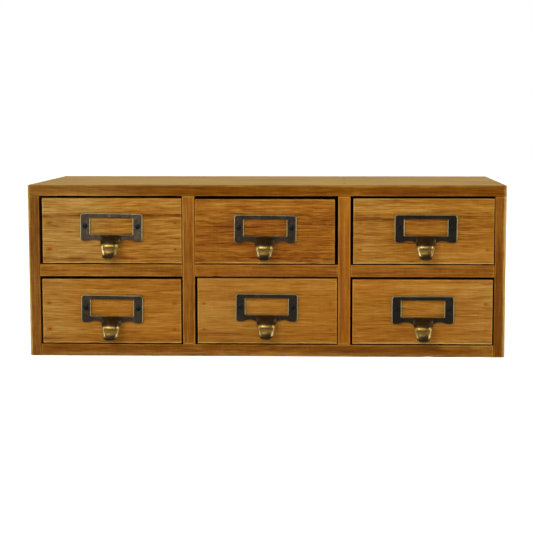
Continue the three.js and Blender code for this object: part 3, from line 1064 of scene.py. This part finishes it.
def sheet(bm, outlines, front, back):
    """A flat sheet over the first outline with the others cut out; gives its front faces."""
    edges = []
    for outline in outlines:
        verts = [bm.verts.new((x * MM, -back * MM, z * MM)) for x, z in outline]
        edges += [bm.edges.new(pair) for pair in zip(verts, verts[1:] + verts[:1])]
    filled = bmesh.ops.triangle_fill(bm, use_beauty=True, edges=edges)
    faces = [item for item in filled["geom"] if isinstance(item, bmesh.types.BMFace)]
    grown = bmesh.ops.extrude_face_region(bm, geom=faces)
    moved = [item for item in grown["geom"] if isinstance(item, bmesh.types.BMVert)]
    bmesh.ops.translate(bm, verts=moved, vec=(0, (back - front) * MM, 0))
    fronts = [item for item in grown["geom"] if isinstance(item, bmesh.types.BMFace)]
    walls = [face for edge in edges for vert in edge.verts for face in vert.link_faces]
    bmesh.ops.recalc_face_normals(bm, faces=each_once(walls + fronts))
    return fronts


PULL_PATH = (
    ((1.1, -20.9), (4.8, -21.9), (11.2, -26.2), (12.6, -31.0)),
    ((12.6, -31.0), (13.1, -33.0), (12.8, -34.8), (13.2, -36.6)),
    ((13.2, -36.6), (13.8, -38.8), (15.4, -41.3), (17.6, -43.0)),
)
PULL_WIDTHS = ((-20.0, 9.9), (-23.0, 9.8), (-25.0, 9.5), (-27.0, 9.15), (-29.0, 8.9), (-31.0, 8.7),
               (-34.5, 8.1), (-37.6, 7.2), (-40.0, 6.5), (-45.0, 5.8))
LIP_SIDE = -38.8
LIP_DROP = 4.5
CURL_START = 0.60
CURL_DEPTH = 1.5
DOME_START, DOME_RUN = 1.5, 8.0
LEAN_START, LEAN_RUN = 2.0, 15.0
PULL_STEPS = 14
PULL_GRID = (22, 34)
PULL_EASE = 0.35


def between_pairs(pairs, value):
    """Reads a table of pairs in a straight line between its rows."""
    for (a, first), (b, second) in zip(pairs, pairs[1:]):
        if min(a, b) <= value <= max(a, b):
            return first + (second - first) * (value - a) / (b - a)
    return pairs[-1][1]


def pull(bm, settings, lean):
    """The finger pull: a domed strip that slopes out, turns down and flares at its lip."""
    path = [p for part in PULL_PATH for p in bend(part, PULL_STEPS)] + [PULL_PATH[-1][-1]]
    dome = settings.dome / MM
    before = set(bm.verts)
    across, down_steps = PULL_GRID
    grid = bmesh.ops.create_grid(bm, x_segments=across, y_segments=down_steps, size=0.5)
    for vert in grid["verts"]:
        side, down = math.sin(vert.co.x * math.pi), 0.5 - vert.co.y
        foot = LIP_SIDE - LIP_DROP * math.sqrt(max(0.0, 1 - side * side))
        height = PULL_PATH[0][0][1] + (foot - PULL_PATH[0][0][1]) * down ** 0.85
        index = max(1, next((i for i, p in enumerate(path) if p[1] <= height), len(path) - 1))
        (u0, z0), (u1, z1) = path[index - 1], path[index]
        share = (height - z0) / (z1 - z0)
        u = u0 + (u1 - u0) * share
        length = math.hypot(u1 - u0, z1 - z0)
        out, up = (z0 - z1) / length, (u1 - u0) / length
        x = side * between_pairs(PULL_WIDTHS, height)
        rise = min(1.0, max(0.0, (u - DOME_START) / DOME_RUN))
        curl = max(0.0, (abs(side) - CURL_START) / (1 - CURL_START)) ** 2 * CURL_DEPTH
        sag = (dome - math.sqrt(dome * dome - x * x) + curl) * rise * rise * (3 - 2 * rise)
        x += lean * max(0.0, u - LEAN_START) / LEAN_RUN
        vert.co = Vector((x, -(u - out * sag), height - up * sag)) * MM
    faces = each_once(face for vert in grid["verts"] for face in vert.link_faces)
    bmesh.ops.recalc_face_normals(bm, faces=faces)
    if sum(face.normal.y for face in faces) > 0:
        bmesh.ops.reverse_faces(bm, faces=faces)
    bmesh.ops.solidify(bm, geom=faces, thickness=settings.metal)
    made = [vert for vert in bm.verts if vert not in before]
    whole = each_once(face for vert in made for face in vert.link_faces)
    bmesh.ops.recalc_face_normals(bm, faces=whole)
    edges = each_once(edge for face in whole for edge in face.edges)
    ease(bm, [edge for edge in edges if edge.calc_face_angle(0.0) > 0.9], PULL_EASE * MM)


# How bright the metal is, from rubbing and painted highlights where the lights reflect: the pull by
# its height, and its two edges by theirs; and the two rings of the plate's rim: share of its width,
# depth in mm, and brightness.

RUB_AND_HIGHLIGHT_BY_HEIGHT = (
    (0.0, 0.02), (-29.4, 0.05), (-30.7, 0.62), (-31.7, 0.6), (-32.7, 0.12), (-33.8, 0.36),
    (-36.0, 0.55), (-37.4, 0.2), (-38.6, 0.03), (-42.2, 0.02), (-43.0, 0.4), (-50.0, 0.4),
)
EDGE_HIGHLIGHT = ((0.0, 0.0), (-29.6, 0.0), (-32.2, 1.0), (-39.0, 1.0), (-41.2, 0.0), (-50.0, 0.0))
EDGE_WIDTH = 1.7
RIM_RINGS = ((0.35, 0.2, 0.62), (0.65, 0.1, 0.42))


def rub_and_highlight_at(point):
    """How bright a point of the pull is: metal bared by rubbing, with painted highlights where the
    lights reflect, at its bend, its lower face and its two edges.
    """
    x, z = abs(point.x) / MM, point.z / MM
    half = between_pairs(PULL_WIDTHS, max(z, -45.0))
    edge = min(1.0, max(0.0, 1.4 - (half - x) / EDGE_WIDTH)) * between_pairs(EDGE_HIGHLIGHT, z)
    return max(between_pairs(RUB_AND_HIGHLIGHT_BY_HEIGHT, z), edge)


def rim_highlight(face, brightness):
    """How bright a face of the rim is painted: a painted highlight, less where it faces up or down
    as the light falls, and hardly at a screw.
    """
    middle = face.calc_center_median()
    if math.hypot(abs(middle.x) - SCREW_X * MM, middle.z - SCREW_Z * MM) < 3 * MM:
        return 0.1
    slope = face.normal.z / max(1e-6, math.hypot(face.normal.x, face.normal.z))
    upward = 0.9 if middle.z < -12 * MM else 0.45
    return brightness * (1.0 - min(1.0, max(0.0, -slope) + max(0.0, slope) * upward))


def card_frame(bm, settings, lean):
    """The plate, its spacers and the pull; one attribute holds how bright the metal is, from
    rubbing and painted highlights, and "pulled" where the pull is.
    """
    bm.loops.layers.float.new("rub")
    bm.loops.layers.float.new("pulled")
    rub, pulled = (bm.loops.layers.float[key] for key in ("rub", "pulled"))
    plate = mirrored(plate_half(settings.plate_width / MM))
    window = mirrored(window_half(settings.window_width / MM))
    holes = [screw_hole(side) for side in (-1, 1)]
    face_height = PLATE_FACE - sum(depth for share, depth, brightness in RIM_RINGS)
    fronts = sheet(bm, [plate, window, *holes], face_height, CARD_SLOT)
    rings = []
    for share, depth, brightness in RIM_RINGS:
        made = bmesh.ops.inset_region(bm, faces=fronts, thickness=settings.rim * share,
                                      depth=depth * MM, use_boundary=True, use_even_offset=True)
        rings.append((made["faces"], brightness))
    for ring, brightness in rings:
        for face in ring:
            face.normal_update()
            amount = rim_highlight(face, brightness)
            for loop in face.loops:
                loop[rub] = amount

    end = settings.plate_width / 2 / MM - SPACER_INSET
    top, low = -SPACER_INSET, LOBE_FOOT + SPACER_INSET
    for side in (-1, 1):
        outline = [(side * x, z)
                   for x, z in ((CARD_HALF, top), (end, top), (end, low), (CARD_HALF, low))]
        sheet(bm, [outline, screw_hole(side)], SPACER, 0.0)
    foot = [(-CARD_HALF, CARD_FOOT), (CARD_HALF, CARD_FOOT), (CARD_HALF, NOTCH + 0.3),
            (-CARD_HALF, NOTCH + 0.3)]
    sheet(bm, [foot], SPACER, 0.0)

    plate_faces = set(bm.faces)
    pull(bm, settings, lean)
    for face in bm.faces:
        if face not in plate_faces:
            for loop in face.loops:
                loop[rub] = rub_and_highlight_at(loop.vert.co)
                loop[pulled] = 1.0


def frame_place(name):
    """Where a card frame sits on its drawer: the middle of its top edge, and its tilt."""
    drawer = DRAWERS[name]
    low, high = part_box(f"{name}_drawer_front")
    place = Vector(((low.x + high.x) / 2 + drawer["shift"] * MM, low.y - 0.2 * MM,
                    low.z + drawer["top"] * MM))
    return Matrix.Translation(place) @ Matrix.Rotation(math.radians(drawer["tilt"]), 4, "Y")


class CardFrames(Operator):
    """Makes the six bronze card frames with their finger pulls"""

    bl_idname = "apothecary.card_frames"
    bl_label = "Card frames"

    def execute(self, context):
        settings = context.scene.apothecary_frames
        for index, (name, drawer) in enumerate(DRAWERS.items()):
            bm = bmesh.new()
            card_frame(bm, settings, drawer["lean"])
            bmesh.ops.transform(bm, matrix=frame_place(name), verts=bm.verts)
            material = bronze(f"bronze {name}", settings.patina_and_light, settings.brass_and_highlight,
                              drawer["patina_and_light"], 3.1 * index + 2)
            piece = set_down(f"{name}_card_frame", bm, material, f"{name}_drawer",
                             (f"{name}_card_frame_pull",))
            flatten_shading(piece, 40)
        return {"FINISHED"}


class Screws(Operator):
    """Dresses the two screws of each card frame"""

    bl_idname = "apothecary.screws"
    bl_label = "Screws"

    def execute(self, context):
        settings = context.scene.apothecary_frames
        steel = black_steel("blackened steel", settings.screw, 6.6)
        for name in DRAWERS:
            for side in ("left", "right"):
                node = f"{name}_screw_{side}"
                piece = set_down(f"{node}_steel", planed_copy(node, 0.08 * MM), steel,
                                 f"{name}_drawer", (node,))
                flatten_shading(piece, 35)
        return {"FINISHED"}


# ------------------------------------------------------------------ the stage

TARGET = Vector((0.0, 0.0, 0.09))
LIGHTS = {
    "key": ((-1.0, -1.75, 1.3), (1.0, 1.0)),
    "fill": ((1.5, -0.55, 0.5), (0.6, 0.9)),
    "edge": ((-1.5, -0.5, 0.45), (0.5, 0.8)),
    "front": ((0.0, -1.75, 1.0), (1.3, 0.24)),
    "back": ((0.1, 1.15, 1.0), (1.4, 0.5)),
}
CAMERA_PLACE = (0.06954, -1.50825, 0.23992)
CAMERA_TURN = (math.pi / 2 - 0.1055, 0.0003, 0.0296)
CAMERA_SHIFT = -0.052
SENSOR_WIDTH = 36.0
NEAREST, FARTHEST = 0.05, 50.0
WHITE = (1.0, 1.0, 1.0, 1.0)
FLOOR_RADIUS = 6.0
FLOOR_STEPS = 96


def soft_light(name, place, size, power):
    """A rectangular light that faces the cabinet."""
    data = bpy.data.lights.new(name, "AREA")
    data.shape = "RECTANGLE"
    data.size, data.size_y = size
    data.energy = power
    lamp = bpy.data.objects.new(name, data)
    lamp.location = place
    lamp.rotation_euler = (TARGET - Vector(place)).to_track_quat("-Z", "Y").to_euler()
    bpy.context.scene.collection.objects.link(lamp)


def surroundings(context, strength):
    """A room: white behind the cabinet and at its sides, and dim in front of it and overhead."""
    world = bpy.data.worlds.new("Room")
    context.scene.world = world
    world.use_nodes = True
    shader = Shader(world.node_tree)
    direction = shader.add("ShaderNodeTexCoord", output="Generated")
    axes = shader.add("ShaderNodeSeparateXYZ", {}, {0: direction})
    behind = axes.of(1).between(-0.35, 0.3)
    low = 1.0 - axes.of(2).between(0.2, 0.7)
    level = behind * low * 1.1 + 0.3
    seen = shader.add("ShaderNodeLightPath", output="Is Camera Ray")
    amount = seen + (1.0 - seen) * level * strength
    background = shader.add("ShaderNodeBackground", {}, {"Color": WHITE, "Strength": amount})
    shader.add("ShaderNodeOutputWorld", {}, {"Surface": background})


def floor_material(rgb):
    """Pale floor that is seen a little brighter than it lights the cabinet."""
    material, shader, coordinates = new_material("pale floor")
    grain = shader.cloud(coordinates, (40, 40, 40), 4.0, detail=4)
    colour = shader.mixed((grain * 0.5 + 0.5).clamped(), scaled(rgb, 0.97), scaled(rgb))
    unseen, bright = (shader.add("ShaderNodeBsdfPrincipled", {}, {
        "Base Color": colour, "Roughness": 0.9, "Specular IOR Level": 0.1,
        "Emission Color": WHITE, "Emission Strength": glow,
    }) for glow in (0.12, 0.88))
    seen = shader.add("ShaderNodeLightPath", output="Is Camera Ray")
    surface = shader.add("ShaderNodeMixShader", {}, {0: seen, 1: unseen, 2: bright})
    shader.add("ShaderNodeOutputMaterial", {}, {"Surface": surface})
    return material


class Stage(Operator):
    """Sets the floor, the lights and the camera"""

    bl_idname = "apothecary.stage"
    bl_label = "Stage"

    def execute(self, context):
        settings = context.scene.apothecary_stage
        scene = context.scene
        scene.view_settings.view_transform = "Standard"

        bm = bmesh.new()
        bmesh.ops.create_circle(bm, cap_ends=True, segments=FLOOR_STEPS, radius=FLOOR_RADIUS)
        mesh = bpy.data.meshes.new("floor")
        bm.to_mesh(mesh)
        bm.free()
        mesh.materials.append(floor_material(settings.floor))
        floor = bpy.data.objects.new("floor", mesh)
        scene.collection.objects.link(floor)

        surroundings(context, settings.surroundings)
        for name, (place, size) in LIGHTS.items():
            soft_light(f"{name} light", place, size, getattr(settings, f"{name}_power"))

        data = bpy.data.cameras.new("camera")
        data.lens = settings.lens
        data.sensor_width = SENSOR_WIDTH
        data.shift_x = CAMERA_SHIFT
        data.clip_start, data.clip_end = NEAREST, FARTHEST
        camera = bpy.data.objects.new("camera", data)
        camera.location = CAMERA_PLACE
        camera.rotation_euler = CAMERA_TURN
        scene.collection.objects.link(camera)
        scene.camera = camera
        return {"FINISHED"}


# ------------------------------------------------------------------ the add-on

OPERATORS = (CaseBoards, BackPanel, CaseNails, DrawerFronts, DrawerBoxes, Brads, CardFrames,
             Screws, Stage)


class CabinetPanel(Panel):
    """Lists the cabinet's pieces and their settings"""

    bl_idname = "VIEW3D_PT_apothecary"
    bl_label = "Apothecary cabinet"
    bl_space_type = "VIEW_3D"
    bl_region_type = "UI"
    bl_category = "Cabinet"

    def draw(self, context):
        for operator in OPERATORS:
            self.layout.operator(operator.bl_idname)
        for key, group in SETTINGS.items():
            box = self.layout.box()
            for name in group.__annotations__:
                box.prop(getattr(context.scene, key), name)


CLASSES = (*SETTINGS.values(), *OPERATORS, CabinetPanel)


def register():
    for cls in CLASSES:
        bpy.utils.register_class(cls)
    for key, group in SETTINGS.items():
        setattr(bpy.types.Scene, key, PointerProperty(type=group))


def unregister():
    for key in SETTINGS:
        delattr(bpy.types.Scene, key)
    for cls in reversed(CLASSES):
        bpy.utils.unregister_class(cls)


def main():
    register()
    for operator in OPERATORS:
        group, name = operator.bl_idname.split(".")
        getattr(getattr(bpy.ops, group), name)()


if __name__ == "__main__":
    main()
